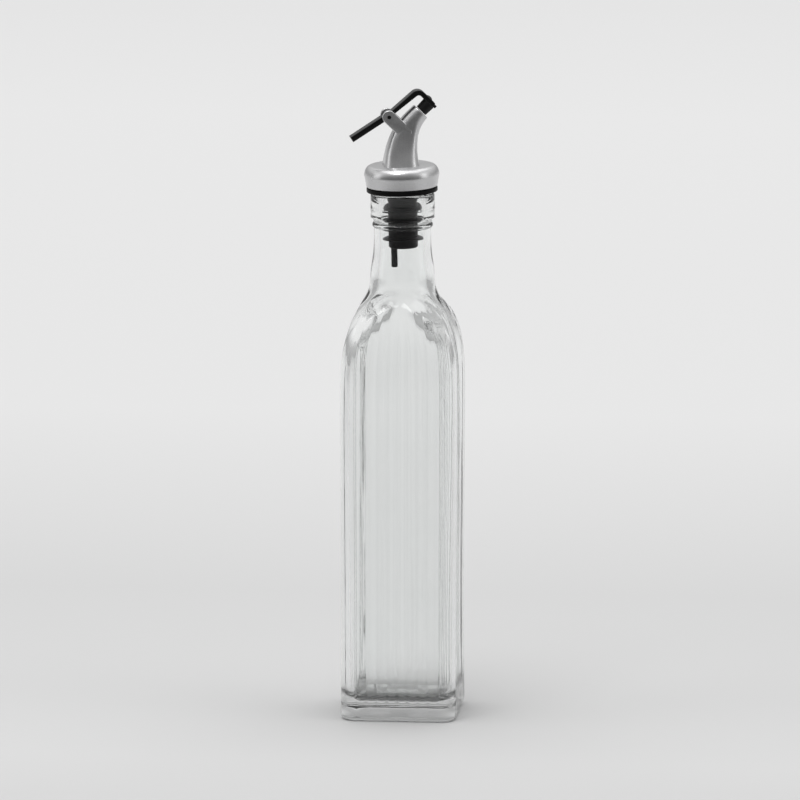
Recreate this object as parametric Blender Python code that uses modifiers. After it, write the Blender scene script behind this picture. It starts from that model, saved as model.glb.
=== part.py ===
"""Square glass oil bottle with ribbed faces, a ringed stopper and a pourer that a small lever shuts.

Metres, +Z up, origin in the middle of the base. The four faces look along X and Y. The pourer's own frame
starts at the middle of its collar's underside, with its spout leaning towards +X and its hinge along Y.
"""

import math

import bmesh
import bpy
from mathutils import Matrix, Vector

# Glass, outside
BODY_HALF = 0.02835
BODY_SWELL = 0.0002
CORNER_RADIUS = 0.0080
HEEL_RADIUS = 0.0029
RIBS = 8
RIB_DEPTH = 0.00035
RIB_FOOT = 0.0055
RIB_FULL = 0.0095
RIB_FADE = 0.2000
SHOULDER_START = 0.1600
ROUNDING_START = 0.2045
NECK_ROOT = 0.2090
NECK_ROOT_RADIUS = 0.0159
NECK_RADIUS = 0.0139
NECK_TOP = 0.2400
NECK_NARROW = 0.2330
GLASS_HEIGHT = 0.2570
FINISH_RADIUS = 0.0156
FINISH_FOOT = 0.2452
RING_RADIUS = 0.0148
GROOVE_RADIUS = 0.0143
LIP_ROUNDING = 0.0010
RING_SLOPE = 0.0008
RING_LAND = 0.0014

# Glass, inside
WALL = 0.0029
FLOOR = 0.0098
FLOOR_ROUNDING = 0.0066
INNER_CORNER = 0.0070
BORE_RADIUS = 0.0105
BORE_ROOT = 0.2070
BORE_ROOT_RADIUS = 0.0124

# Pourer on the lip: it leans a little, as it was pushed in by hand
SEAT_HEIGHT = 0.2482
COLLAR_LIFT = 0.0120
SPOUT_TURN = math.radians(13.0)
STOPPER_LEAN = math.radians(1.4)

# Collar and spout, in the pourer's frame
COLLAR_FOOT_RADIUS = 0.0172
COLLAR_RADIUS = 0.0183
COLLAR_EDGE = 0.0058
COLLAR_HEIGHT = 0.0105
COLLAR_TOP_RADIUS = 0.0150
SPOUT_ROOT = Vector((-0.0003, 0.0, 0.0099))
SPOUT_RISE = 0.0148
MOUTH = Vector((0.0100, 0.0, 0.0364))
MOUTH_ANGLE = math.radians(43.3)
MOUTH_REACH = 0.0077
SPOUT_ROOT_LENGTH = 0.0086
SPOUT_ROOT_DEPTH = 0.0093
SPOUT_TUBE_RADIUS = 0.00455
SPOUT_BORE_RADIUS = 0.0025
MOUTH_BEVEL = 0.0004
LENGTH_TAPER = 1.46
DEPTH_TAPER = 3.0
FLAT_CORNER = 0.45
ROUND_CORNER = 0.97

# Hinge, ears and lever, in the pourer's frame
HINGE = Vector((-0.0060, 0.0, 0.0348))
EAR_FOOT = Vector((0.0012, 0.0, 0.0281))
EAR_RADIUS = 0.0033
EAR_INNER = 0.0033
EAR_OUTER = 0.0047
TRUNNION_RADIUS = 0.00105
TRUNNION_HOLE = 0.00135
HUB_RADIUS = 0.0026
HUB_INSET = 0.00005
LEVER_WIDTH = 0.0060
TAIL_TIP = Vector((-0.02430, 0.0, 0.02427))
TAIL_HALF = 0.00138
ARM_ROOT = Vector((-0.0050, 0.0, 0.0359))
ARM_ROOT_HALF = 0.00095
CROOK_CENTRE = Vector((0.0088, 0.0, 0.0430))
CROOK_RADIUS = 0.00287
CROOK_HALF = 0.00135
ARM_ANGLE = math.radians(38.1)
PAD_HALF = 0.00120
PAD_LENGTH = 0.0078
TAB_HALF = 0.00070
TAB_LENGTH = 0.0013
TAB_STEP = 0.0004
LEVER_EDGE = 0.0003
DOME_RADIUS = 0.0024
DOME_OFFSET = 0.0040
DOME_HEIGHT = 0.0007
PLUG_GAP = 0.0003
PLUG_HEIGHT = 0.0047
PLUG_TIP_RADIUS = 0.00305
PLUG_TOP_RADIUS = 0.00330

# Stopper and breather tube, in the pourer's frame
FLANGE_RADIUS = 0.0173
FLANGE_TOP = -0.0003
FLANGE_THICKNESS = 0.0021
COLLAR_CORE_RADIUS = 0.0090
CORE_RADIUS = 0.0072
CORE_CONE_TOP = -0.0046
CORE_CONE_FOOT = -0.0084
CORE_BOTTOM = -0.0299
FIN_RADIUS = 0.0099
FIN_THICKNESS = 0.0009
FIN_FIRST = -0.0111
FIN_PITCH = 0.00475
FINS = 4
TUBE_OFFSET = -0.0046
TUBE_RADIUS = 0.0015
TUBE_BORE_RADIUS = 0.0008
TUBE_LENGTH = 0.0099
TUBE_SOCKET_RADIUS = 0.0018
TUBE_SOCKET_DEPTH = 0.0030
TUBE_INSERTED = 0.0027

# Small roundings on turned edges, and how far a cutter runs past what it cuts
SOFT_EDGE = 0.0003
CUT_BEYOND = 0.0010

# Heights of the rings that the glass is lofted through, outside going up and inside going down
BODY_RINGS = (HEEL_RADIUS, RIB_FOOT, RIB_FULL, 0.055, 0.110, SHOULDER_START)
SHOULDER_RINGS = (0.1720, 0.1810, 0.1880, 0.1935, 0.1980, 0.2020, 0.2052, 0.2080)
NECK_RINGS = (0.2095, 0.2150, 0.2210, 0.2265, 0.2300, NECK_NARROW, NECK_TOP)
INNER_NECK_RINGS = (NECK_NARROW, 0.2270, 0.2210, 0.2140, BORE_ROOT)
INNER_SHOULDER_RINGS = (0.2040, 0.2000, 0.1960, 0.1910, 0.1850, 0.1770, SHOULDER_START)
INNER_BODY_RINGS = (0.110, 0.055, FLOOR + FLOOR_ROUNDING)

# Facets
FACETS_PER_RIB = 4
FACETS_PER_CORNER = 5
INNER_FACETS_PER_FACE = 2
INNER_FACETS_PER_CORNER = 8
NECK_FACETS = 40
TURNED_FACETS = 40
SPOUT_STATIONS = 12
ANGLE_SLACK = 0.01


def lerp(start, end, share):
    return start + (end - start) * share


def share_between(value, start, end):
    """How far value lies from start to end, held between 0 and 1."""
    return min(max((value - start) / (end - start), 0.0), 1.0)


def smooth_step(value, start, end):
    share = share_between(value, start, end)
    return share * share * (3.0 - 2.0 * share)


# Scene, collections and materials


def clear_scene():
    for item in list(bpy.data.objects):
        bpy.data.objects.remove(item, do_unlink=True)


def new_collection(name):
    collection = bpy.data.collections.new(name)
    bpy.context.scene.collection.children.link(collection)
    return collection


def new_material(name, colour, roughness, metallic=0.0, transmission=0.0):
    material = bpy.data.materials.new(name)
    material.use_nodes = True
    shader = material.node_tree.nodes["Principled BSDF"]
    shader.inputs["Base Color"].default_value = (*colour, 1.0)
    shader.inputs["Roughness"].default_value = roughness
    shader.inputs["Metallic"].default_value = metallic
    shader.inputs["Transmission Weight"].default_value = transmission
    return material


def new_empty(name, collection, parent=None):
    empty = bpy.data.objects.new(name, None)
    collection.objects.link(empty)
    empty.parent = parent
    return empty


def mesh_object(name, bm, collection, parent=None, material=None):
    """Makes an object of a bmesh, faces pointing out, and shades its round stretches smooth."""
    bmesh.ops.recalc_face_normals(bm, faces=bm.faces)
    mesh = bpy.data.meshes.new(name)
    bm.to_mesh(mesh)
    bm.free()
    mesh.shade_smooth()
    mesh.set_sharp_from_angle(angle=math.radians(35.0))
    if material:
        mesh.materials.append(material)
    item = bpy.data.objects.new(name, mesh)
    collection.objects.link(item)
    item.parent = parent
    return item


def as_cutter(item):
    item.hide_render = True
    item.display_type = "WIRE"
    return item


def add_boolean(item, tool, operation):
    modifier = item.modifiers.new(tool.name, "BOOLEAN")
    modifier.operation = operation
    modifier.object = tool
    modifier.solver = "EXACT"


# Lofts between unlike sections


def ring_of(bm, points):
    return [bm.verts.new(point) for point in points]


def skin_rings(bm, lower, upper):
    """Joins two anticlockwise rings: by quads where they match, by triangles in order of angle where not."""
    if len(lower) == len(upper):
        for index in range(len(lower)):
            after = (index + 1) % len(lower)
            bm.faces.new((lower[index], lower[after], upper[after], upper[index]))
        return

    start = math.atan2(lower[0].co.y, lower[0].co.x) - ANGLE_SLACK

    def turn_of(vertex):
        return (math.atan2(vertex.co.y, vertex.co.x) - start) % math.tau

    offset = min(range(len(upper)), key=lambda index: turn_of(upper[index]))
    high_ring = upper[offset:] + upper[:offset]
    low_turns = [turn_of(vertex) for vertex in lower] + [math.tau]
    high_turns = [turn_of(vertex) for vertex in high_ring] + [math.tau]
    low = 0
    high = 0
    while low < len(lower) or high < len(upper):
        here = lower[low % len(lower)]
        there = high_ring[high % len(upper)]
        if high == len(upper) or (low < len(lower) and low_turns[low + 1] <= high_turns[high + 1]):
            low += 1
            bm.faces.new((here, lower[low % len(lower)], there))
        else:
            high += 1
            bm.faces.new((here, high_ring[high % len(upper)], there))


def loft(rings_of_points):
    """One closed body through the rings, its first and last ring filled."""
    bm = bmesh.new()
    rings = [ring_of(bm, points) for points in rings_of_points]
    for lower, upper in zip(rings, rings[1:]):
        skin_rings(bm, lower, upper)
    bm.faces.new(reversed(rings[0]))
    bm.faces.new(rings[-1])
    return bm


def turned(name, profile, collection, parent=None, material=None, facets=TURNED_FACETS):
    """Turns a profile of (radius, height) round Z; a profile that stays off the axis is a closed loop."""
    bm = bmesh.new()
    corners = [bm.verts.new((radius, 0.0, height)) for radius, height in profile]
    for here, there in zip(corners, corners[1:]):
        bm.edges.new((here, there))
    if profile[0][0] > 0.0:
        bm.edges.new((corners[-1], corners[0]))
    item = mesh_object(name, bm, collection, parent, material)
    screw = item.modifiers.new("Turn", "SCREW")
    screw.steps = facets
    screw.render_steps = facets
    screw.use_merge_vertices = True
    screw.merge_threshold = 0.00001
    screw.use_smooth_shade = True
    return item


def prism(name, outline, half_width, middle, collection, parent=None, material=None):
    """A plate with an outline in the XZ plane, as wide as asked to both sides of y = middle."""
    bm = bmesh.new()
    near = [bm.verts.new((point.x, middle - half_width, point.z)) for point in outline]
    face = bm.faces.new(near)
    pushed = bmesh.ops.extrude_face_region(bm, geom=[face])
    far = [part for part in pushed["geom"] if isinstance(part, bmesh.types.BMVert)]
    bmesh.ops.translate(bm, verts=far, vec=(0.0, 2.0 * half_width, 0.0))
    return mesh_object(name, bm, collection, parent, material)


def cross_cylinder(name, centre, radius, half_length, collection, parent, facets=24):
    """A cylinder along Y."""
    bm = bmesh.new()
    bmesh.ops.create_cone(
        bm,
        cap_ends=True,
        segments=facets,
        radius1=radius,
        radius2=radius,
        depth=2.0 * half_length,
        matrix=Matrix.Translation(centre) @ Matrix.Rotation(math.radians(90.0), 4, "X"),
    )
    return mesh_object(name, bm, collection, parent)


# Glass bottle


def body_half(height):
    """Half the width over two faces: the body swells and draws in very slightly on its way down."""
    depth = (SHOULDER_START - height) / SHOULDER_START
    return BODY_HALF + BODY_SWELL * math.cos(1.5 * math.pi * depth)


def shouldered_half(height, straight_half, root, root_half):
    """Half width that leaves the straight body at the shoulder and falls in by a cubic law to the neck."""
    share = share_between(height, SHOULDER_START, root)
    return lerp(straight_half, root_half, share**3)


def square_ring(height, half, corner, rib, facets_per_face, facets_per_corner):
    """A rounded square, anticlockwise; rib is the depth of the valleys between the ribs on its faces."""
    flat = half - corner
    side = []
    for step in range(facets_per_face + 1):
        across = step / facets_per_face
        valley = 1.0 - abs(math.sin(math.pi * RIBS * across))
        side.append(Vector((half - rib * valley, lerp(-flat, flat, across), height)))
    bend = []
    for step in range(1, facets_per_corner):
        turn = 0.5 * math.pi * step / facets_per_corner
        bend.append(Vector((flat + corner * math.cos(turn), flat + corner * math.sin(turn), height)))
    quarters = [Matrix.Rotation(0.5 * math.pi * quarter, 3, "Z") for quarter in range(4)]
    return [quarter @ point for quarter in quarters for point in side + bend]


def round_ring(height, radius):
    turns = [math.tau * step / NECK_FACETS for step in range(NECK_FACETS)]
    return [Vector((radius * math.cos(turn), radius * math.sin(turn), height)) for turn in turns]


def outer_square(height, inset=0.0):
    half = shouldered_half(height, body_half(min(height, SHOULDER_START)), NECK_ROOT, NECK_ROOT_RADIUS)
    corner = lerp(CORNER_RADIUS, half, smooth_step(height, ROUNDING_START, NECK_ROOT + 0.0010))
    fade = smooth_step(height, RIB_FOOT, RIB_FULL) * (1.0 - smooth_step(height, RIB_FADE, NECK_ROOT))
    return square_ring(
        height, half - inset, corner - inset, RIB_DEPTH * fade, RIBS * FACETS_PER_RIB, FACETS_PER_CORNER
    )


def inner_square(height, inset=0.0):
    straight = body_half(min(height, SHOULDER_START)) - WALL
    half = shouldered_half(height, straight, BORE_ROOT, BORE_ROOT_RADIUS)
    corner = lerp(INNER_CORNER, half, 0.8 * smooth_step(height, SHOULDER_START, BORE_ROOT))
    return square_ring(
        height, half - inset, corner - inset, 0.0, INNER_FACETS_PER_FACE, INNER_FACETS_PER_CORNER
    )


def outside_rings():
    rings = []
    for degrees in (0.0, 30.0, 60.0):
        turn = math.radians(degrees)
        rings.append(
            [
                point + Vector((0.0, 0.0, HEEL_RADIUS * (1.0 - math.cos(turn)) - HEEL_RADIUS))
                for point in outer_square(HEEL_RADIUS, HEEL_RADIUS * (1.0 - math.sin(turn)))
            ]
        )
    rings += [outer_square(height) for height in BODY_RINGS + SHOULDER_RINGS]
    for height in NECK_RINGS:
        narrowing = smooth_step(height, NECK_ROOT, NECK_NARROW)
        rings.append(round_ring(height, lerp(NECK_ROOT_RADIUS, NECK_RADIUS, narrowing**1.6)))
    rings.append(round_ring(NECK_TOP + RING_SLOPE, RING_RADIUS))
    rings.append(round_ring(NECK_TOP + RING_SLOPE + RING_LAND, RING_RADIUS))
    rings.append(round_ring(NECK_TOP + 2.0 * RING_SLOPE + RING_LAND, GROOVE_RADIUS))
    rings.append(round_ring(FINISH_FOOT - RING_SLOPE, GROOVE_RADIUS))
    rings.append(round_ring(FINISH_FOOT, FINISH_RADIUS))
    for degrees in (0.0, 45.0, 90.0):
        turn = math.radians(degrees)
        radius = FINISH_RADIUS - LIP_ROUNDING * (1.0 - math.cos(turn))
        rings.append(round_ring(GLASS_HEIGHT - LIP_ROUNDING * (1.0 - math.sin(turn)), radius))
    return rings


def inside_rings():
    rings = [
        round_ring(GLASS_HEIGHT, BORE_RADIUS + 0.5 * LIP_ROUNDING),
        round_ring(GLASS_HEIGHT - 0.5 * LIP_ROUNDING, BORE_RADIUS),
    ]
    for height in INNER_NECK_RINGS:
        widening = 1.0 - smooth_step(height, BORE_ROOT, NECK_NARROW)
        rings.append(round_ring(height, lerp(BORE_RADIUS, BORE_ROOT_RADIUS, widening**1.5)))
    rings += [inner_square(height) for height in INNER_SHOULDER_RINGS + INNER_BODY_RINGS]
    for degrees in (30.0, 60.0, 90.0):
        turn = math.radians(degrees)
        drop = FLOOR_ROUNDING * math.sin(turn)
        rings.append(
            [
                point - Vector((0.0, 0.0, drop))
                for point in inner_square(FLOOR + FLOOR_ROUNDING, FLOOR_ROUNDING * (1.0 - math.cos(turn)))
            ]
        )
    return rings


def glass_bottle(collection):
    clear_glass = new_material("clear_glass", (0.97, 0.98, 0.98), 0.02, transmission=1.0)
    return mesh_object("glass_bottle", loft(outside_rings() + inside_rings()), collection, None, clear_glass)


# Stopper and breather tube


def stopper_profile():
    """Down the outer side from the flange over the fins, and back up the passage for the oil."""
    flange_foot = FLANGE_TOP - FLANGE_THICKNESS
    profile = [
        (SPOUT_BORE_RADIUS, FLANGE_TOP),
        (FLANGE_RADIUS - SOFT_EDGE, FLANGE_TOP),
        (FLANGE_RADIUS, FLANGE_TOP - SOFT_EDGE),
        (FLANGE_RADIUS, flange_foot + SOFT_EDGE),
        (FLANGE_RADIUS - SOFT_EDGE, flange_foot),
        (COLLAR_CORE_RADIUS, flange_foot),
        (COLLAR_CORE_RADIUS, CORE_CONE_TOP),
        (CORE_RADIUS, CORE_CONE_FOOT),
    ]
    for fin in range(FINS):
        middle = FIN_FIRST - FIN_PITCH * fin
        profile += [
            (CORE_RADIUS, middle + 0.5 * FIN_THICKNESS),
            (FIN_RADIUS, middle + 0.2 * FIN_THICKNESS),
            (FIN_RADIUS, middle - 0.2 * FIN_THICKNESS),
            (CORE_RADIUS, middle - 0.5 * FIN_THICKNESS),
        ]
    profile += [
        (CORE_RADIUS, CORE_BOTTOM + SOFT_EDGE),
        (CORE_RADIUS - SOFT_EDGE, CORE_BOTTOM),
        (SPOUT_BORE_RADIUS, CORE_BOTTOM),
    ]
    return profile


def stopper(collection, cutters, frame, black_rubber):
    item = turned("stopper", stopper_profile(), collection, frame, black_rubber)
    bm = bmesh.new()
    bmesh.ops.create_cone(
        bm,
        cap_ends=True,
        segments=20,
        radius1=TUBE_SOCKET_RADIUS,
        radius2=TUBE_SOCKET_RADIUS,
        depth=2.0 * TUBE_SOCKET_DEPTH,
        matrix=Matrix.Translation((TUBE_OFFSET, 0.0, CORE_BOTTOM)),
    )
    add_boolean(item, as_cutter(mesh_object("tube_socket", bm, cutters, frame)), "DIFFERENCE")
    return item


def breather_tube(collection, frame):
    black_plastic = new_material("tube_plastic", (0.030, 0.031, 0.033), 0.40)
    profile = [
        (TUBE_BORE_RADIUS, TUBE_INSERTED),
        (TUBE_RADIUS, TUBE_INSERTED),
        (TUBE_RADIUS, -TUBE_LENGTH),
        (TUBE_BORE_RADIUS, -TUBE_LENGTH),
    ]
    item = turned("breather_tube", profile, collection, frame, black_plastic, facets=20)
    item.location = (TUBE_OFFSET, 0.0, CORE_BOTTOM)
    return item


# Pourer: collar, spout and ears


def spout_centre(share):
    """Point and direction of the spout's centre line: straight up at the root, along the mouth's axis at its end."""
    aim = Vector((math.cos(MOUTH_ANGLE), 0.0, math.sin(MOUTH_ANGLE)))
    knots = (SPOUT_ROOT, SPOUT_ROOT + Vector((0.0, 0.0, SPOUT_RISE)), MOUTH - aim * MOUTH_REACH, MOUTH)
    rest = 1.0 - share
    weights = (rest**3, 3.0 * rest**2 * share, 3.0 * rest * share**2, share**3)
    point = sum((knot * weight for knot, weight in zip(knots, weights)), Vector())
    slopes = (rest**2, 2.0 * rest * share, share**2)
    spans = [after - before for before, after in zip(knots, knots[1:])]
    direction = sum((span * slope for span, slope in zip(spans, slopes)), Vector()).normalized()
    return point, direction


def spout_ring(point, direction, half_length, half_depth, corner_share):
    """A rounded rectangle square to the centre line, its long side in the spout's plane at the root."""
    forward = Vector((direction.z, 0.0, -direction.x))
    corner = corner_share * min(half_length, half_depth)
    outline = []
    for quarter, (x_side, y_side) in enumerate(((1, 1), (-1, 1), (-1, -1), (1, -1))):
        for step in range(7):
            turn = 0.5 * math.pi * (quarter + step / 6.0)
            along = x_side * (half_length - corner) + corner * math.cos(turn)
            aside = y_side * (half_depth - corner) + corner * math.sin(turn)
            outline.append(point + forward * along + Vector((0.0, aside, 0.0)))
    return outline


def spout_rings():
    rings = []
    for station in range(SPOUT_STATIONS + 1):
        share = station / SPOUT_STATIONS
        point, direction = spout_centre(share)
        half_length = lerp(SPOUT_TUBE_RADIUS, SPOUT_ROOT_LENGTH, (1.0 - share) ** LENGTH_TAPER)
        half_depth = lerp(SPOUT_TUBE_RADIUS, SPOUT_ROOT_DEPTH, (1.0 - share) ** DEPTH_TAPER)
        corner_share = lerp(FLAT_CORNER, ROUND_CORNER, smooth_step(share, 0.35, 0.85))
        if station == SPOUT_STATIONS:
            before = point - direction * MOUTH_BEVEL
            rings.append(spout_ring(before, direction, half_length, half_depth, corner_share))
            half_length -= MOUTH_BEVEL
            half_depth -= MOUTH_BEVEL
        rings.append(spout_ring(point, direction, half_length, half_depth, corner_share))
    return rings


def bore_rings():
    """The passage for the oil: up through the collar, along the spout and out of its mouth."""
    foot = Vector((0.0, 0.0, -CUT_BEYOND))
    centres = [(foot, Vector((0.0, 0.0, 1.0)))]
    centres += [spout_centre(station / SPOUT_STATIONS) for station in range(1, SPOUT_STATIONS + 1)]
    point, direction = spout_centre(1.0)
    centres.append((point + direction * CUT_BEYOND, direction))
    radius = SPOUT_BORE_RADIUS
    return [spout_ring(point, direction, radius, radius, ROUND_CORNER) for point, direction in centres]


def collar_profile():
    profile = [(0.0, COLLAR_HEIGHT)]
    for step in range(6):
        turn = 0.5 * math.pi * (1.0 - step / 5.0)
        radius = lerp(COLLAR_TOP_RADIUS, COLLAR_RADIUS, math.cos(turn))
        profile.append((radius, lerp(COLLAR_EDGE, COLLAR_HEIGHT, math.sin(turn))))
    profile += [
        (COLLAR_FOOT_RADIUS, SOFT_EDGE),
        (COLLAR_FOOT_RADIUS - SOFT_EDGE, 0.0),
        (0.0, 0.0),
    ]
    return profile


def ear_outline():
    """A strip with a round end about the hinge that runs down into the spout's side."""
    run = (EAR_FOOT - HINGE).normalized()
    start = math.atan2(run.z, run.x) + 0.5 * math.pi
    outline = []
    for step in range(13):
        turn = start + math.pi * step / 12.0
        outline.append(HINGE + EAR_RADIUS * Vector((math.cos(turn), 0.0, math.sin(turn))))
    for step in range(7):
        turn = start + math.pi + math.pi * step / 6.0
        outline.append(EAR_FOOT + EAR_RADIUS * Vector((math.cos(turn), 0.0, math.sin(turn))))
    return outline


def pourer(collection, cutters, frame):
    silver = new_material("satin_silver", (0.62, 0.62, 0.62), 0.34, metallic=1.0)
    item = turned("pourer", collar_profile(), collection, frame, silver)
    spout = as_cutter(mesh_object("spout_shell", loft(spout_rings()), cutters, frame))
    add_boolean(item, spout, "UNION")
    half_thickness = 0.5 * (EAR_OUTER - EAR_INNER)
    for side, middle in (("near", -EAR_INNER - half_thickness), ("far", EAR_INNER + half_thickness)):
        ear = prism(side + "_ear", ear_outline(), half_thickness, middle, cutters, frame)
        add_boolean(item, as_cutter(ear), "UNION")
    passage = as_cutter(mesh_object("oil_passage", loft(bore_rings()), cutters, frame))
    add_boolean(item, passage, "DIFFERENCE")
    hole = cross_cylinder("hinge_hole", HINGE, TRUNNION_HOLE, EAR_OUTER + CUT_BEYOND, cutters, frame)
    add_boolean(item, as_cutter(hole), "DIFFERENCE")
    return item


# Lever and seal plug, about the hinge


def mouth_axis():
    return Vector((math.cos(MOUTH_ANGLE), 0.0, math.sin(MOUTH_ANGLE)))


def along_pad(distance):
    """A point on the pad's middle plane, so far from the crook towards the tab."""
    down = Vector((math.sin(MOUTH_ANGLE), 0.0, -math.cos(MOUTH_ANGLE)))
    return CROOK_CENTRE + mouth_axis() * CROOK_RADIUS + down * distance


def lever_stations():
    """Points along the lever's middle, each with half its thickness: tail, arm, crook, pad and tab."""
    stations = [(TAIL_TIP, TAIL_HALF), (lerp(TAIL_TIP, ARM_ROOT, 0.85), TAIL_HALF), (ARM_ROOT, ARM_ROOT_HALF)]
    arm_normal = ARM_ANGLE + 0.5 * math.pi
    for step in range(7):
        turn = lerp(arm_normal, MOUTH_ANGLE, step / 6.0)
        point = CROOK_CENTRE + CROOK_RADIUS * Vector((math.cos(turn), 0.0, math.sin(turn)))
        stations.append((point, lerp(CROOK_HALF, PAD_HALF, step / 6.0)))
    stations.append((along_pad(PAD_LENGTH - TAB_STEP), PAD_HALF))
    stations.append((along_pad(PAD_LENGTH), TAB_HALF))
    stations.append((along_pad(PAD_LENGTH + TAB_LENGTH), TAB_HALF))
    return stations


def lever_outline():
    stations = lever_stations()
    points = [point for point, _ in stations]
    above = []
    below = []
    for index, (point, half) in enumerate(stations):
        before = points[max(index - 1, 0)]
        after = points[min(index + 1, len(points) - 1)]
        run = (after - before).normalized()
        left = Vector((-run.z, 0.0, run.x))
        above.append(point + left * half)
        below.append(point - left * half)
    return below + above[::-1]


def flap_lever(collection, cutters, hinge, black_plastic):
    outline = [point - HINGE for point in lever_outline()]
    item = prism("flap_lever", outline, 0.5 * LEVER_WIDTH, 0.0, collection, hinge, black_plastic)
    bevel = item.modifiers.new("Edges", "BEVEL")
    bevel.width = LEVER_EDGE
    bevel.segments = 2
    bevel.limit_method = "ANGLE"
    bevel.angle_limit = math.radians(50.0)
    hub = cross_cylinder("hub", Vector(), HUB_RADIUS, 0.5 * LEVER_WIDTH - HUB_INSET, cutters, hinge)
    trunnions = cross_cylinder("trunnions", Vector(), TRUNNION_RADIUS, EAR_OUTER, cutters, hinge, facets=16)
    bm = bmesh.new()
    bmesh.ops.create_uvsphere(bm, u_segments=20, v_segments=10, radius=DOME_RADIUS)
    bmesh.ops.scale(bm, vec=(1.0, 1.0, (DOME_HEIGHT + PAD_HALF) / DOME_RADIUS), verts=bm.verts)
    for vertex in bm.verts:
        vertex.co.z = max(vertex.co.z, -0.5 * PAD_HALF)
    tilt = Matrix.Rotation(0.5 * math.pi - MOUTH_ANGLE, 4, "Y")
    place = Matrix.Translation(along_pad(DOME_OFFSET) - HINGE)
    bmesh.ops.transform(bm, matrix=place @ tilt, verts=bm.verts)
    dome = mesh_object("dome", bm, cutters, hinge)
    for tool in (hub, trunnions, dome):
        add_boolean(item, as_cutter(tool), "UNION")
    return item


def seal_plug(collection, hinge, black_rubber):
    profile = [
        (0.0, PLUG_HEIGHT),
        (PLUG_TOP_RADIUS - SOFT_EDGE, PLUG_HEIGHT),
        (PLUG_TOP_RADIUS, PLUG_HEIGHT - SOFT_EDGE),
        (PLUG_TIP_RADIUS, SOFT_EDGE),
        (PLUG_TIP_RADIUS - SOFT_EDGE, 0.0),
        (0.0, 0.0),
    ]
    item = turned("seal_plug", profile, collection, hinge, black_rubber, facets=28)
    item.location = MOUTH + mouth_axis() * PLUG_GAP - HINGE
    item.rotation_euler = (0.0, 0.5 * math.pi - MOUTH_ANGLE, 0.0)
    return item


def main():
    clear_scene()
    parts = new_collection("oil_bottle")
    cutters = new_collection("cutters")

    seat = new_empty("stopper_seat", parts)
    seat.location = (0.0, 0.0, SEAT_HEIGHT)
    seat.rotation_euler = (0.0, -STOPPER_LEAN, SPOUT_TURN)
    frame = new_empty("pourer_frame", parts, seat)
    frame.location = (0.0, 0.0, COLLAR_LIFT)
    hinge = new_empty("lever_hinge", parts, frame)
    hinge.location = HINGE

    black_rubber = new_material("black_rubber", (0.018, 0.018, 0.020), 0.45)
    black_plastic = new_material("black_plastic", (0.014, 0.014, 0.015), 0.30)
    glass_bottle(parts)
    stopper(parts, cutters, frame, black_rubber)
    breather_tube(parts, frame)
    pourer(parts, cutters, frame)
    flap_lever(parts, cutters, hinge, black_plastic)
    seal_plug(parts, hinge, black_rubber)
    bpy.context.view_layer.update()


main()
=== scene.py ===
"""Looks of the square oil bottle: clear ribbed glass, black stopper, silver pourer and black lever."""

import math

import bmesh
import bpy
from mathutils import Matrix, Vector


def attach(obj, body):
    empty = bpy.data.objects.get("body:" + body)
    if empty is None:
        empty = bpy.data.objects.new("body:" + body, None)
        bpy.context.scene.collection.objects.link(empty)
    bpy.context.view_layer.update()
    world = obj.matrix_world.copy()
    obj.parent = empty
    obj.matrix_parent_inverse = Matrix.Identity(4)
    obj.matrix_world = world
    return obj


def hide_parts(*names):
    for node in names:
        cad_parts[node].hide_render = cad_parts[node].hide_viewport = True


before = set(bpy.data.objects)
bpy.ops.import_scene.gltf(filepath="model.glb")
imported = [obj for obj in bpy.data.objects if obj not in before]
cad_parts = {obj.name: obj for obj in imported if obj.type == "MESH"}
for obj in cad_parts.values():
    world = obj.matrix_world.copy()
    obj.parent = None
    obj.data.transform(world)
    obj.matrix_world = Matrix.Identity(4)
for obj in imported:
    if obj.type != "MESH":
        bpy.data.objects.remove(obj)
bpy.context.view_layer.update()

QUARTER_TURN = 0.5 * math.pi

# Camera, as the photograph sees the bottle
CAMERA_DISTANCE = 7.0
CAMERA_SIDE = math.radians(5.5)
CAMERA_RISE = math.radians(10.4)
CAMERA_LENS = 646.6
SENSOR_WIDTH = 36.0
CLIP_END = 100.0
AIM_HEIGHT = 0.1545
AIM_ASIDE = -0.00127

# Glass outside, in metres
BODY_HALF = 0.02835
BODY_SWELL = 0.0002
CORNER_RADIUS = 0.0080
HEEL_RADIUS = 0.0029
BASE_PUSH_UP = 0.0009
PUSH_UP_FLAT = 0.72
PUSH_UP_FOOT = 0.96
UNDERSIDE_SHARES = (0.04, 0.3, 0.55, PUSH_UP_FLAT, 0.84, 0.91, PUSH_UP_FOOT)
RIBS = 8
RIB_DEPTH = 0.00058
RIB_SOFTNESS = 0.08
RIB_SHARPNESS = 1.5
RIB_FOOT = 0.0095
RIB_FULL = 0.0165
RIB_FADE = 0.1740
RIB_GONE = 0.2065
PLAIN_FOOT = 0.0041
BODY_FOOT = 0.0180
SHOULDER_START = 0.1600
ROUNDING_START = 0.1950
NECK_ROOT = 0.2090
NECK_ROOT_RADIUS = 0.0159
NECK_RADIUS = 0.0139
NECK_NARROW = 0.2330
NECK_FLARE_POWER = 1.6
NECK_TOP = 0.2400
BEAD_FOOT = 0.2402
BEAD_HALF_HEIGHT = 0.0012
BEAD_RADIUS = 0.0148
GROOVE_FOOT = 0.2432
GROOVE_TOP = 0.2442
GROOVE_RADIUS = 0.0143
FINISH_FOOT = 0.2452
FINISH_EDGE = 0.0004
FINISH_EDGE_SHARE = 0.6
FINISH_RADIUS = 0.0156
SEAM_HEIGHT = 0.2497
SEAM_HALF = 0.0002
SEAM_SPREAD = 0.0005
SEAM_PROUD = 0.00012
GLASS_HEIGHT = 0.2570
LIP_ROUNDING = 0.0012
FILLET_REACH = 0.0042

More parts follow.
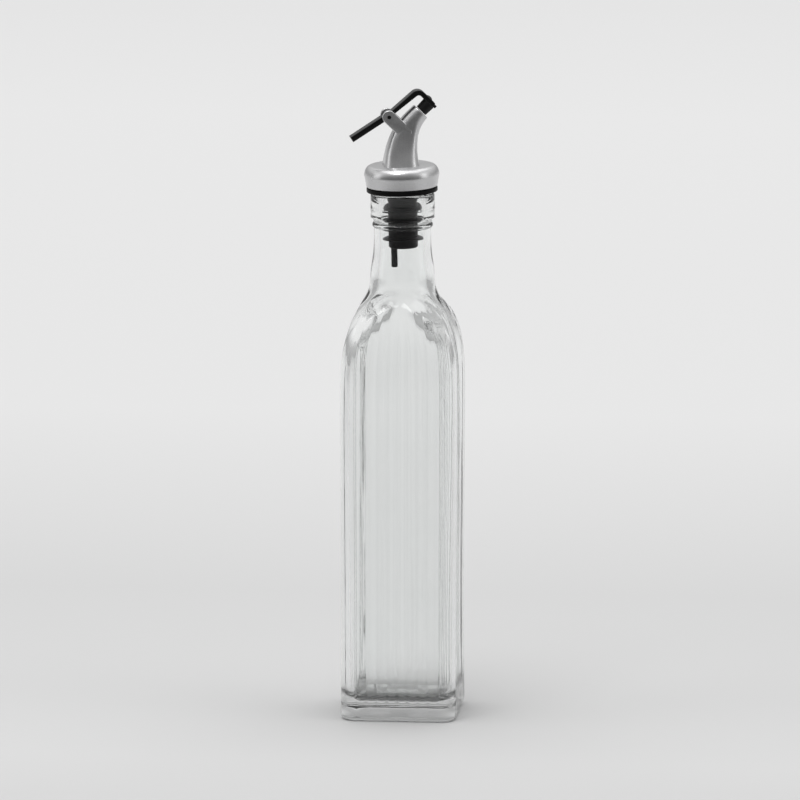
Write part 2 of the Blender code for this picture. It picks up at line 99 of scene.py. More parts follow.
# Glass inside
WALL = 0.0029
FLOOR = 0.0088
FLOOR_ROUNDING = 0.0078
FLOOR_DOME = 0.0016
FLOOR_SHARES = (0.93, 0.85, 0.72, 0.58, 0.44, 0.30, 0.17, 0.05)
INNER_CORNER = 0.0085
INNER_ROUNDING_START = 0.1850
INNER_FILLET_REACH = 0.0060
INNER_RIB_DEPTH = 0.35 * RIB_DEPTH
INNER_RIB_FOOT = 0.0180
INNER_RIB_FULL = 0.0300
INNER_RIB_FADE = 0.1640
BORE_RADIUS = 0.0105
BORE_ROOT = 0.2070
BORE_ROOT_RADIUS = 0.0124
BORE_FLARE_POWER = 1.5
INNER_LIP_ROUNDING = 0.5 * LIP_ROUNDING

# Unevenness of the glass: waves round the section and up the wall, and how deep they are
SLOW_WAVES = 3.0
SLOW_CLIMB = 20.0
QUICK_WAVES = 11.0
QUICK_CLIMB = 30.0
QUICK_SHARE = 0.6
WAVE = 0.00008
BORE_WAVE = 0.3 * WAVE
FOOT_WAVE = 0.00012

# Tones of the glass, faintly grey-green and drifting at random, with shade painted between its ribs and in
# its foot, and dull on its floor
GLASS_COLOUR = (0.94, 0.955, 0.95)
GLASS_DARKER = (0.962, 0.974, 0.970)
GLASS_LIGHTER = (0.981, 0.988, 0.985)
PAINTED_GROOVE_SHADE = 0.975
GROOVE_FULL = 0.7
PAINTED_FOOT_SHADE = 0.76
FOOT_SHADE_LOW = 0.003
FOOT_SHADE_HIGH = 0.013
FLOOR_ROUGHNESS = 0.24
DULL_HALF = BODY_HALF - 0.5 * WALL
DULL_FOOT = 0.5 * FLOOR
DULL_TOP = FLOOR + 1.1 * FLOOR_ROUNDING
RIPPLE_SCALE = 60.0
RIPPLE_STRETCH = 0.35
RIPPLE_STRENGTH = 0.35
RIPPLE_DEPTH = 0.0006

# Pourer's frame on the lip
SEAT_HEIGHT = 0.2482
COLLAR_LIFT = 0.0120
SPOUT_TURN = math.radians(13.0)
STOPPER_LEAN = math.radians(1.4)
POURER_FRAME = (
    Matrix.Translation((0.0, 0.0, SEAT_HEIGHT))
    @ Matrix.Rotation(SPOUT_TURN, 4, "Z")
    @ Matrix.Rotation(-STOPPER_LEAN, 4, "Y")
    @ Matrix.Translation((0.0, 0.0, COLLAR_LIFT))
)

# Collar and spout
COLLAR_FOOT_RADIUS = 0.0169
COLLAR_HEM = 0.0004
COLLAR_HEM_RADIUS = 0.0173
COLLAR_SIDE_TOP = 0.0052
COLLAR_SIDE_RADIUS = 0.0181
COLLAR_EDGE = 0.0058
COLLAR_RADIUS = 0.0183
COLLAR_HEIGHT = 0.0105
COLLAR_TOP_RADIUS = 0.0150
SPOUT_ROOT = Vector((-0.0003, 0.0, 0.0099))
SPOUT_RISE = 0.0148
MOUTH = Vector((0.0100, 0.0, 0.0364))
MOUTH_ANGLE = math.radians(43.3)
MOUTH_AXIS = Vector((math.cos(MOUTH_ANGLE), 0.0, math.sin(MOUTH_ANGLE)))
MOUTH_TILT = Matrix.Rotation(QUARTER_TURN - MOUTH_ANGLE, 4, "Y")
MOUTH_REACH = 0.0077
SPOUT_ROOT_LENGTH = 0.0086
SPOUT_ROOT_DEPTH = 0.0093
SPOUT_TUBE_RADIUS = 0.00455
SPOUT_BORE_RADIUS = 0.0025
MOUTH_BEVEL = 0.0004
BORE_LIP = 0.0002
BORE_DEPTH = 0.0120
FLAT_CORNER = 0.62
ROUND_CORNER = 0.97
CORNER_CHANGE_START = 0.35
CORNER_CHANGE_END = 0.85
LENGTH_TAPER = 1.46
DEPTH_TAPER = 3.0

# Hinge, ears and lever
HINGE = Vector((-0.0060, 0.0, 0.0348))
EAR_FOOT = Vector((0.0016, 0.0, 0.0271))
EAR_RADIUS = 0.0033
EAR_INNER = 0.0033
EAR_OUTER = 0.0047
EAR_BEVEL = 0.00045
EAR_SPLAY = 0.0006
TRUNNION_RADIUS = 0.00105
TRUNNION_PROUD = 0.0002
HUB_RADIUS = 0.0026
HUB_INSET = 0.00005
ROD_EDGE = 0.0003
LEVER_WIDTH = 0.0060
LEVER_EDGE = 0.00035
TAIL_TIP = Vector((-0.02430, 0.0, 0.02427))
TAIL_HALF = 0.00138
TAIL_SHARE = 0.85
ARM_ROOT = Vector((-0.0050, 0.0, 0.0359))
ARM_ROOT_HALF = 0.00095
CROOK_CENTRE = Vector((0.0088, 0.0, 0.0430))
CROOK_RADIUS = 0.00287
CROOK_HALF = 0.00135
ARM_ANGLE = math.radians(38.1)
PAD_HALF = 0.00120
PAD_LENGTH = 0.0078
TAB_HALF = 0.00070
TAB_LENGTH = 0.0013
TAB_STEP = 0.0004
DOME_RADIUS = 0.0024
DOME_OFFSET = 0.0040
DOME_HEIGHT = 0.0007
DOME_CUT = -0.5 * PAD_HALF
PLUG_GAP = 0.0003
PLUG_HEIGHT = 0.0056
PLUG_TIP_RADIUS = 0.00305
PLUG_TOP_RADIUS = 0.00330
PLUG_EDGE = 0.0003

# Stopper and breather tube
FLANGE_RADIUS = 0.0173
FLANGE_TOP = -0.0003
FLANGE_THICKNESS = 0.0021
COLLAR_CORE_RADIUS = 0.0090
CORE_RADIUS = 0.0072
CORE_CONE_TOP = -0.0046
CORE_CONE_FOOT = -0.0084
CORE_BOTTOM = -0.0299
FIN_RADIUS = 0.0099
FIN_THICKNESS = 0.0009
FIN_FIRST = -0.0111
FIN_PITCH = 0.00475
FINS = 4
TUBE_OFFSET = -0.0046
TUBE_RADIUS = 0.0015
TUBE_BORE_RADIUS = 0.0008
TUBE_LENGTH = 0.0099
TUBE_INSERTED = 0.0027
TUBE_EDGE = 0.0002
FLANGE_EDGE = 0.0004
CORE_EDGE = 0.0005

# Section of one of the stopper's rings, as shares of half its thickness
FIN_FLARE = 1.3
FIN_FLAT = 0.8
FIN_EDGE = 0.6

# Studio floor: half its side, and its tone at each depth behind the bottle, in metres, with light and shade
# painted in: painted shade well in front, a painted soft shadow just behind the bottle, lighter far behind
FLOOR_HALF = 30.0
FLOOR_PAINTED_LIGHT_AND_SHADE = (
    (-1.30, 0.12),
    (-0.60, 0.25),
    (-0.30, 0.58),
    (-0.12, 0.64),
    (0.05, 0.625),
    (0.30, 0.625),
    (0.80, 0.77),
    (1.80, 0.85),
)

# Studio world: light by height of the sky, and by how far it lies behind the bottle
SKY_LOW = 0.05
SKY_HIGH = 0.60
SKY_LOW_LIGHT = 0.40
SKY_HIGH_LIGHT = 0.85
FRONT = -0.9
BACK = -0.1
FRONT_LIGHT = 0.36

# How finely the pieces are made: rows up the glass, gaps between stretches of them, steps round a turn
FOOT_ROWS = 4
RIB_START_GAP = 0.001
RIB_START_ROWS = 6
BODY_ROWS = 14
SHOULDER_GAP = 0.002
SHOULDER_ROWS = 34
NECK_ROOT_GAP = 0.0004
NECK_ROWS = 20
INNER_NECK_ROWS = 12
BORE_ROOT_GAP = 0.0015
INNER_SHOULDER_ROWS = 24
INNER_BODY_TOP = 0.1500
INNER_BODY_ROWS = 26
AVERAGED_HEIGHTS = 13
STEPS_PER_RIB = 13
STEPS_PER_CORNER = 12
HEEL_STEPS = 7
BEAD_STEPS = 9
LIP_STEPS = 6
INNER_LIP_STEPS = 4
FLOOR_CURVE_STEPS = 8
EDGE_STEPS = 4
ROD_EDGE_STEPS = 5
BEVEL_STEPS = 3
COLLAR_STEPS = 14
SPOUT_STATIONS = 36
SPOUT_CORNER_STEPS = 13
EAR_TOP_STEPS = 25
EAR_FOOT_STEPS = 13
CROOK_STEPS = 17
TURNED_STEPS = 96
SMALL_TURNED_STEPS = 48
TUBE_STEPS = 32
MERGE = 0.000001

# The part of a noise's range that a material spreads its tones over
NOISE_LOW = 0.3
NOISE_HIGH = 0.7


def lerp(start, end, share):
    return start + (end - start) * share


def share_between(value, start, end):
    return min(max((value - start) / (end - start), 0.0), 1.0)


def smooth_step(value, start, end):
    share = share_between(value, start, end)
    return share * share * (3.0 - 2.0 * share)


def spread(start, end, count):
    """Evenly spaced values from start to end, both ends among them."""
    return [lerp(start, end, step / (count - 1)) for step in range(count)]


# Ways of making a piece


def swept(sections):
    """Pushes one face through the sections, which say where each of its corners goes."""
    bm = bmesh.new()
    place = bm.verts.layers.int.new("place")
    bmesh.ops.create_circle(bm, cap_ends=True, segments=len(sections[0]), radius=1.0)
    for index, vertex in enumerate(bm.verts):
        vertex[place] = index
    cap = next(iter(bm.faces))
    for number, section in enumerate(sections):
        if number:
            region = [cap] + list(cap.edges) + list(cap.verts)
            pushed = bmesh.ops.extrude_face_region(bm, geom=region)
            cap = next(part for part in pushed["geom"] if isinstance(part, bmesh.types.BMFace))
        for vertex in cap.verts:
            vertex.co = section[vertex[place]]
    return bm


def spun(profile, steps=TURNED_STEPS):
    """Spins a profile of (radius, height) round Z; one that stays off the axis is a closed loop."""
    bm = bmesh.new()
    corners = [bm.verts.new((radius, 0.0, height)) for radius, height in profile]
    edges = [bm.edges.new(pair) for pair in zip(corners, corners[1:])]
    if profile[0][0] > 0.0:
        edges.append(bm.edges.new((corners[-1], corners[0])))
    bmesh.ops.spin(
        bm,
        geom=corners + edges,
        axis=(0.0, 0.0, 1.0),
        cent=(0.0, 0.0, 0.0),
        angle=math.tau,
        steps=steps,
        use_merge=True,
    )
    bmesh.ops.remove_doubles(bm, verts=bm.verts, dist=MERGE)
    return bm


def plate(outline, near, far, edge):
    """A plate with an outline in the XZ plane from y = near to y = far, its rims bevelled."""
    bm = bmesh.new()
    face = bm.faces.new([bm.verts.new((point.x, near, point.z)) for point in outline])
    pushed = bmesh.ops.extrude_face_region(bm, geom=[face])
    moved = [part for part in pushed["geom"] if isinstance(part, bmesh.types.BMVert)]
    bmesh.ops.translate(bm, verts=moved, vec=(0.0, far - near, 0.0))
    rims = [item for item in bm.edges if abs(item.verts[0].co.y - item.verts[1].co.y) < MERGE]
    bmesh.ops.bevel(
        bm,
        geom=rims,
        offset=edge,
        segments=BEVEL_STEPS,
        profile=0.5,
        affect="EDGES",
        material=-1,
        clamp_overlap=True,
    )
    return bm


def side_direction(turn):
    """A direction in the XZ plane, at an angle up from X."""
    return Vector((math.cos(turn), 0.0, math.sin(turn)))


def cross_rod(centre, radius, half_length, edge):
    """A rod along Y with rounded ends, about a centre."""
    profile = [(0.0, half_length)]
    for turn in spread(QUARTER_TURN, 0.0, ROD_EDGE_STEPS):
        out = radius - edge + edge * math.cos(turn)
        profile.append((out, half_length - edge + edge * math.sin(turn)))
    profile += [(away, -height) for away, height in reversed(profile)]
    bm = spun(profile, SMALL_TURNED_STEPS)
    laid = Matrix.Rotation(QUARTER_TURN, 4, "X")
    bmesh.ops.transform(bm, matrix=Matrix.Translation(centre) @ laid, verts=bm.verts)
    return bm


def in_scene(name, data):
    """A new object in the scene."""
    thing = bpy.data.objects.new(name, data)
    bpy.context.scene.collection.objects.link(thing)
    return thing


def finished(name, bm, material, body, nodes=(), place=None, sharp=40.0):
    """Makes a piece of a bmesh: normals out, shaded smooth up to an angle, riding on its body."""
    if place:
        bmesh.ops.transform(bm, matrix=place, verts=bm.verts)
    bmesh.ops.recalc_face_normals(bm, faces=bm.faces)
    mesh = bpy.data.meshes.new(name)
    bm.to_mesh(mesh)
    bm.free()
    mesh.shade_smooth()
    mesh.set_sharp_from_angle(angle=math.radians(sharp))
    mesh.materials.append(material)
    piece = in_scene(name, mesh)
    if nodes:
        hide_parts(*nodes)
    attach(piece, body)


# Materials


def node_material(name, colour, roughness, metallic=0.0):
    """A Principled material and its node tree, with the plain values set on the shader's own sockets."""
    material = bpy.data.materials.new(name)
    material.use_nodes = True
    tree = material.node_tree
    shader = tree.nodes["Principled BSDF"]
    shader.inputs["Base Color"].default_value = (*colour, 1.0)
    shader.inputs["Roughness"].default_value = roughness
    shader.inputs["Metallic"].default_value = metallic
    return material, tree, shader


def object_noise(tree, scale, detail=3.0, stretch=(1.0, 1.0, 1.0)):
    """Noise on Object coordinates, stretched by its own Mapping node."""
    coordinates = tree.nodes.new("ShaderNodeTexCoord")
    mapping = tree.nodes.new("ShaderNodeMapping")
    mapping.inputs["Scale"].default_value = stretch
    noise = tree.nodes.new("ShaderNodeTexNoise")
    noise.inputs["Scale"].default_value = scale
    noise.inputs["Detail"].default_value = detail
    tree.links.new(coordinates.outputs["Object"], mapping.inputs["Vector"])
    tree.links.new(mapping.outputs["Vector"], noise.inputs["Vector"])
    return noise.outputs["Fac"]


def coordinate(tree, kind, axis):
    """One axis of a texture coordinate."""
    coordinates = tree.nodes.new("ShaderNodeTexCoord")
    split = tree.nodes.new("ShaderNodeSeparateXYZ")
    tree.links.new(coordinates.outputs[kind], split.inputs["Vector"])
    return split.outputs[axis]


def vertex_value(tree, name):
    """A value that the mesh carries on its vertices."""
    attribute = tree.nodes.new("ShaderNodeAttribute")
    attribute.attribute_name = name
    return attribute.outputs["Fac"]


def ranged(tree, value, low, high, at_low, at_high, kind="LINEAR"):
    """A value that runs from at_low to at_high as another runs from low to high, and no further."""
    node = tree.nodes.new("ShaderNodeMapRange")
    node.interpolation_type = kind
    node.inputs["From Min"].default_value = low
    node.inputs["From Max"].default_value = high
    node.inputs["To Min"].default_value = at_low
    node.inputs["To Max"].default_value = at_high
    tree.links.new(value, node.inputs["Value"])
    return node.outputs["Result"]


def mottled(tree, shader, value, low, high):
    """Base colour that drifts between two close tones."""
    ramp = tree.nodes.new("ShaderNodeValToRGB")
    ramp.color_ramp.elements[0].position = NOISE_LOW
    ramp.color_ramp.elements[0].color = (*low, 1.0)
    ramp.color_ramp.elements[1].position = NOISE_HIGH
    ramp.color_ramp.elements[1].color = (*high, 1.0)
    tree.links.new(value, ramp.inputs["Fac"])
    tree.links.new(ramp.outputs["Color"], shader.inputs["Base Color"])


def toned(tree, shader, tone):
    """Multiplies the base colour by a tone."""
    product = tree.nodes.new("ShaderNodeVectorMath")
    product.operation = "SCALE"
    so_far = shader.inputs["Base Color"].links[0].from_socket
    tree.links.new(so_far, product.inputs[0])
    tree.links.new(tone, product.inputs["Scale"])
    tree.links.new(product.outputs["Vector"], shader.inputs["Base Color"])


def bumped(tree, shader, value, strength, depth):
    """Bump from a height value, its depth in metres."""
    bump = tree.nodes.new("ShaderNodeBump")
    bump.inputs["Strength"].default_value = strength
    bump.inputs["Distance"].default_value = depth
    tree.links.new(value, bump.inputs["Height"])
    tree.links.new(bump.outputs["Normal"], shader.inputs["Normal"])


def clear_glass():
    """Pressed glass, faintly grey-green, with shade painted between its ribs and in its foot, and slow
    ripples down its walls.
    """
    material, tree, shader = node_material("clear_glass", GLASS_COLOUR, 0.0)
    shader.inputs["Transmission Weight"].default_value = 1.0
    shader.inputs["IOR"].default_value = 1.5
    mottled(tree, shader, object_noise(tree, 30.0, detail=2.0), GLASS_DARKER, GLASS_LIGHTER)
    # Painted shade: the base colour is darkened down the grooves between the ribs, in step with their
    # depth.
    groove = vertex_value(tree, "groove")
    toned(tree, shader, ranged(tree, groove, 0.0, GROOVE_FULL, 1.0, PAINTED_GROOVE_SHADE))
    # Painted shade: the base colour is darkened in the foot of the glass, below a low height.
    height = coordinate(tree, "Object", "Z")
    toned(tree, shader, ranged(tree, height, FOOT_SHADE_LOW, FOOT_SHADE_HIGH, PAINTED_FOOT_SHADE, 1.0))
    tree.links.new(vertex_value(tree, "dull"), shader.inputs["Roughness"])
    ripples = object_noise(tree, RIPPLE_SCALE, 2.0, (1.0, 1.0, RIPPLE_STRETCH))
    bumped(tree, shader, ripples, RIPPLE_STRENGTH, RIPPLE_DEPTH)
    return material


def satin_silver():
    """Silver lacquer on plastic: fine metal flake under a satin coat."""
    material, tree, shader = node_material("satin_silver", (0.60, 0.60, 0.605), 0.30, metallic=1.0)
    flakes = object_noise(tree, 2600.0, detail=2.0)
    mottled(tree, shader, flakes, low=(0.56, 0.56, 0.565), high=(0.66, 0.66, 0.665))
    wear = object_noise(tree, 180.0)
    roughness = ranged(tree, wear, NOISE_LOW, NOISE_HIGH, at_low=0.27, at_high=0.35)
    tree.links.new(roughness, shader.inputs["Roughness"])
    bumped(tree, shader, object_noise(tree, 3200.0), strength=0.10, depth=0.00005)
    return material


def black_moulding(name, tone, roughness, grain, depth, gloss=0.2):
    """Black plastic or rubber with the grain of its mould and a faint bloom."""
    material, tree, shader = node_material(name, (tone, tone, tone), roughness)
    shader.inputs["Specular IOR Level"].default_value = gloss
    bright = 1.5 * tone
    clouds = object_noise(tree, 240.0)
    mottled(tree, shader, clouds, (tone, tone, tone), (bright, bright, 1.03 * bright))
    bloom = object_noise(tree, 420.0)
    drift = ranged(tree, bloom, NOISE_LOW, NOISE_HIGH, roughness - 0.05, roughness + 0.06)
    tree.links.new(drift, shader.inputs["Roughness"])
    bumped(tree, shader, object_noise(tree, grain), strength=0.2, depth=depth)
    return material


# Glass bottle


def body_half(height):
    """Half the width over two faces, which swells and draws in very slightly on its way down."""
    depth = (SHOULDER_START - height) / SHOULDER_START
    return BODY_HALF + BODY_SWELL * math.cos(1.5 * math.pi * depth)


def shouldered_half(height, straight_half, root, root_half):
    """Half width that leaves the straight body at the shoulder and falls in by a cubic law to the neck."""
    share = share_between(height, SHOULDER_START, root)
    return lerp(straight_half, root_half, share**3)


def softened(law, height, stretch):
    """A law of height, averaged over a short stretch so that its bends become fillets."""
    lifts = spread(-stretch, stretch, AVERAGED_HEIGHTS)
    return sum(law(height + lift) for lift in lifts) / len(lifts)


def outer_law(height):
    """Half the glass's width outside."""
    if height > NECK_ROOT:
        narrowing = smooth_step(height, NECK_ROOT, NECK_NARROW)
        return lerp(NECK_ROOT_RADIUS, NECK_RADIUS, narrowing**NECK_FLARE_POWER)
    straight_half = body_half(min(height, SHOULDER_START))
    return shouldered_half(height, straight_half, NECK_ROOT, NECK_ROOT_RADIUS)


def inner_law(height):
    """Half the glass's width inside."""
    if height > BORE_ROOT:
        widening = 1.0 - smooth_step(height, BORE_ROOT, NECK_NARROW)
        return lerp(BORE_RADIUS, BORE_ROOT_RADIUS, widening**BORE_FLARE_POWER)
    straight_half = body_half(min(height, SHOULDER_START)) - WALL
    return shouldered_half(height, straight_half, BORE_ROOT, BORE_ROOT_RADIUS)


def stations():
    """Each corner of the glass's section: its turn round the axis, and how deep it lies between ribs."""
    flat = BODY_HALF - CORNER_RADIUS
    steps = RIBS * STEPS_PER_RIB
    quarter = []
    for step in range(steps + 1):
        across = step / steps
        wave = math.sin(math.pi * RIBS * across)
        valley = max(1.0 + RIB_SOFTNESS - math.hypot(wave, RIB_SOFTNESS), 0.0) ** RIB_SHARPNESS
        quarter.append((math.atan2(lerp(-flat, flat, across), BODY_HALF), valley))
    for step in range(1, STEPS_PER_CORNER):
        turn = QUARTER_TURN * step / STEPS_PER_CORNER
        aside = flat + CORNER_RADIUS * math.sin(turn)
        quarter.append((math.atan2(aside, flat + CORNER_RADIUS * math.cos(turn)), 0.0))
    return [(turn + QUARTER_TURN * number, valley) for number in range(4) for turn, valley in quarter]


def reach(turn, half, corner):
    """How far the rounded square goes from its middle in one direction."""
    folded = abs((turn + 0.5 * QUARTER_TURN) % QUARTER_TURN - 0.5 * QUARTER_TURN)
    flat = half - corner
    if math.tan(folded) * half <= flat:
        return half / math.cos(folded)
    along = flat * (math.cos(folded) + math.sin(folded))
    aside = flat * (math.cos(folded) - math.sin(folded))
    return along + math.sqrt(max(corner * corner - aside * aside, 0.0))


def glass_section(row, around):
    """One section of the glass: a rounded square, less the grooves between its ribs, slightly uneven."""
    height, half, corner, rib, wave = row
    section = []
    for turn, valley in around:
        slow = math.sin(SLOW_WAVES * turn + SLOW_CLIMB * height)
        quick = math.sin(QUICK_WAVES * turn - QUICK_CLIMB * height)
        away = reach(turn, half, corner) - rib * valley + wave * (slow + QUICK_SHARE * quick)
        section.append(Vector((away * math.cos(turn), away * math.sin(turn), height)))
    return section


def base_rows():
    """Under the base, from its pushed-up middle out to the ring that it stands on, and round the heel."""
    foot = body_half(HEEL_RADIUS) - HEEL_RADIUS
    corner = CORNER_RADIUS - HEEL_RADIUS
    rows = []
    for share in UNDERSIDE_SHARES:
        rise = BASE_PUSH_UP * (1.0 - smooth_step(share, PUSH_UP_FLAT, PUSH_UP_FOOT))
        rows.append((rise, foot * share, corner * share, 0.0, 0.0))
    for turn in spread(0.0, QUARTER_TURN, HEEL_STEPS):
        grow = HEEL_RADIUS * math.sin(turn)
        rows.append((HEEL_RADIUS * (1.0 - math.cos(turn)), foot + grow, corner + grow, 0.0, 0.0))
    return rows


def rib_fade(height):
    """How much of their full depth the ribs have at a height."""
    return smooth_step(height, RIB_FOOT, RIB_FULL) * (1.0 - smooth_step(height, RIB_FADE, RIB_GONE))


def side_rows():
    """Up the ribbed body and over the shoulder to the neck's root."""
    heights = spread(PLAIN_FOOT, RIB_FOOT, FOOT_ROWS)
    heights += spread(RIB_FOOT + RIB_START_GAP, RIB_FULL, RIB_START_ROWS)
    heights += spread(BODY_FOOT, SHOULDER_START, BODY_ROWS)
    heights += spread(SHOULDER_START + SHOULDER_GAP, NECK_ROOT - NECK_ROOT_GAP, SHOULDER_ROWS)
    rows = []
    for height in heights:
        half = softened(outer_law, height, FILLET_REACH)
        corner = lerp(CORNER_RADIUS, half, smooth_step(height, ROUNDING_START, NECK_ROOT))
        uneven = FOOT_WAVE * (1.0 - smooth_step(height, RIB_FOOT, RIB_FULL))
        rows.append((height, half, corner, RIB_DEPTH * rib_fade(height), uneven))
    return rows


def neck_rows():
    """Up the neck, over the bead, the groove and the finish with its seam, and round the lip."""
    rows = []
    for height in spread(NECK_ROOT + NECK_ROOT_GAP, NECK_TOP, NECK_ROWS):
        rows.append((height, softened(outer_law, height, FILLET_REACH)))
    bead = BEAD_RADIUS - NECK_RADIUS
    for turn in spread(0.0, math.pi, BEAD_STEPS):
        height = BEAD_FOOT + BEAD_HALF_HEIGHT * (1.0 - math.cos(turn))
        rows.append((height, NECK_RADIUS + bead * math.sin(turn)))
    rows += [(GROOVE_FOOT, GROOVE_RADIUS), (GROOVE_TOP, GROOVE_RADIUS)]
    edge_radius = lerp(GROOVE_RADIUS, FINISH_RADIUS, FINISH_EDGE_SHARE)
    rows += [(FINISH_FOOT - FINISH_EDGE, edge_radius), (FINISH_FOOT, FINISH_RADIUS)]
    seam = FINISH_RADIUS + SEAM_PROUD
    rows += [(SEAM_HEIGHT - SEAM_SPREAD, FINISH_RADIUS), (SEAM_HEIGHT - SEAM_HALF, seam)]
    rows += [(SEAM_HEIGHT + SEAM_HALF, seam), (SEAM_HEIGHT + SEAM_SPREAD, FINISH_RADIUS)]
    for turn in spread(0.0, QUARTER_TURN, LIP_STEPS):
        radius = FINISH_RADIUS - LIP_ROUNDING * (1.0 - math.cos(turn))
        rows.append((GLASS_HEIGHT - LIP_ROUNDING * (1.0 - math.sin(turn)), radius))
    return [(height, radius, radius, 0.0, 0.0) for height, radius in rows]


def bore_rows():
    """Down inside: the bore, the shoulder, the walls and the thick floor."""
    rows = []
    for turn in spread(QUARTER_TURN, 0.0, INNER_LIP_STEPS):
        height = GLASS_HEIGHT - INNER_LIP_ROUNDING * (1.0 - math.sin(turn))
        radius = BORE_RADIUS + INNER_LIP_ROUNDING * (1.0 - math.cos(turn))
        rows.append((height, radius, radius, 0.0, 0.0))
    for height in spread(NECK_TOP, BORE_ROOT, INNER_NECK_ROWS):
        radius = softened(inner_law, height, INNER_FILLET_REACH)
        rows.append((height, radius, radius, 0.0, BORE_WAVE))

    floor_top = FLOOR + FLOOR_ROUNDING
    heights = spread(BORE_ROOT - BORE_ROOT_GAP, SHOULDER_START, INNER_SHOULDER_ROWS)
    heights += spread(INNER_BODY_TOP, floor_top, INNER_BODY_ROWS)
    for height in heights:
        half = softened(inner_law, height, INNER_FILLET_REACH)
        corner = lerp(INNER_CORNER, half, smooth_step(height, INNER_ROUNDING_START, BORE_ROOT))
        fade = smooth_step(height, INNER_RIB_FOOT, INNER_RIB_FULL)
        fade *= 1.0 - smooth_step(height, INNER_RIB_FADE, RIB_GONE)
        rows.append((height, half, corner, INNER_RIB_DEPTH * fade, WAVE))

    half = body_half(floor_top) - WALL
    for turn in spread(0.0, QUARTER_TURN, FLOOR_CURVE_STEPS)[1:]:
        drop = FLOOR_ROUNDING * (1.0 - math.cos(turn))
        height = floor_top - FLOOR_ROUNDING * math.sin(turn)
        rows.append((height, half - drop, INNER_CORNER - drop, 0.0, WAVE))
    flat = half - FLOOR_ROUNDING
    corner = INNER_CORNER - FLOOR_ROUNDING
    for share in FLOOR_SHARES:
        rise = FLOOR_DOME * (1.0 - share * share) ** 2
        rows.append((FLOOR + rise, flat * share, corner * share, 0.0, WAVE * share))
    return rows


def glass_bottle(material):
    """The glass in one piece; its vertices carry the depth of the groove, which sets the painted shade
    between the ribs, and the floor's dullness.
    """
    rows = base_rows() + side_rows() + neck_rows() + bore_rows()
    around = stations()
    bm = swept([glass_section(row, around) for row in rows])
    place = bm.verts.layers.int["place"]
    groove = bm.verts.layers.float.new("groove")
    dull = bm.verts.layers.float.new("dull")
    for vertex in bm.verts:
        vertex[groove] = around[vertex[place]][1] * rib_fade(vertex.co.z)
        aside = max(abs(vertex.co.x), abs(vertex.co.y))
        if aside < DULL_HALF and DULL_FOOT < vertex.co.z < DULL_TOP:
            vertex[dull] = FLOOR_ROUGHNESS
    finished("glass_walls", bm, material, "bottle", ["glass_bottle"])


# Stopper and breather tube


def rounded_step(outer, top, foot, edge):
    """The rim of a disc: from its top round both edges to its foot."""
    points = []
    for turn in spread(QUARTER_TURN, 0.0, EDGE_STEPS):
        points.append((outer - edge + edge * math.cos(turn), top - edge + edge * math.sin(turn)))
    for turn in spread(0.0, QUARTER_TURN, EDGE_STEPS):
        points.append((outer - edge + edge * math.cos(turn), foot + edge - edge * math.sin(turn)))
    return points


def stopper(material):
    """Flange, core and rings, with the oil's passage down the middle."""
    flange_foot = FLANGE_TOP - FLANGE_THICKNESS
    profile = [(SPOUT_BORE_RADIUS, FLANGE_TOP)]
    profile += rounded_step(FLANGE_RADIUS, FLANGE_TOP, flange_foot, FLANGE_EDGE)
    profile.append((COLLAR_CORE_RADIUS + FLANGE_EDGE, flange_foot))
    profile.append((COLLAR_CORE_RADIUS, flange_foot - FLANGE_EDGE))
    profile += [(COLLAR_CORE_RADIUS, CORE_CONE_TOP), (CORE_RADIUS, CORE_CONE_FOOT)]
    half = 0.5 * FIN_THICKNESS
    for fin in range(FINS):
        middle = FIN_FIRST - FIN_PITCH * fin
        top = middle + FIN_FLAT * half
        foot = middle - FIN_FLAT * half
        profile.append((CORE_RADIUS, middle + FIN_FLARE * half))
        profile += rounded_step(FIN_RADIUS, top, foot, FIN_EDGE * half)
        profile.append((CORE_RADIUS, middle - FIN_FLARE * half))
    profile += [(CORE_RADIUS, CORE_BOTTOM + CORE_EDGE), (CORE_RADIUS - CORE_EDGE, CORE_BOTTOM)]
    profile.append((SPOUT_BORE_RADIUS, CORE_BOTTOM))
    bm = spun(profile)
    nodes = ["stopper"]
    finished("ringed_stopper", bm, material, "bottle", nodes, POURER_FRAME, sharp=30.0)


def breather_tube(material):
    """The short tube that hangs from the stopper's core."""
    profile = [(TUBE_BORE_RADIUS, TUBE_INSERTED), (TUBE_RADIUS, TUBE_INSERTED)]
    profile += [(TUBE_RADIUS, TUBE_EDGE - TUBE_LENGTH), (TUBE_RADIUS - TUBE_EDGE, -TUBE_LENGTH)]
    profile.append((TUBE_BORE_RADIUS, -TUBE_LENGTH))
    bm = spun(profile, TUBE_STEPS)
    place = POURER_FRAME @ Matrix.Translation((TUBE_OFFSET, 0.0, CORE_BOTTOM))
    finished("air_tube", bm, material, "bottle", ["breather_tube"], place)


# Pourer


def collar(material):
    """The round cap over the stopper's flange, rounded over its edge."""
    profile = [(0.0, COLLAR_HEIGHT)]
    for turn in spread(QUARTER_TURN, 0.0, COLLAR_STEPS):
        radius = lerp(COLLAR_TOP_RADIUS, COLLAR_RADIUS, math.cos(turn))
        profile.append((radius, lerp(COLLAR_EDGE, COLLAR_HEIGHT, math.sin(turn))))
    profile += [(COLLAR_SIDE_RADIUS, COLLAR_SIDE_TOP), (COLLAR_HEM_RADIUS, COLLAR_HEM)]
    profile += [(COLLAR_FOOT_RADIUS, 0.0), (0.0, 0.0)]
    bm = spun(profile)
    nodes = ["pourer"]
    finished("pourer_collar", bm, material, "bottle", nodes, POURER_FRAME, sharp=28.0)


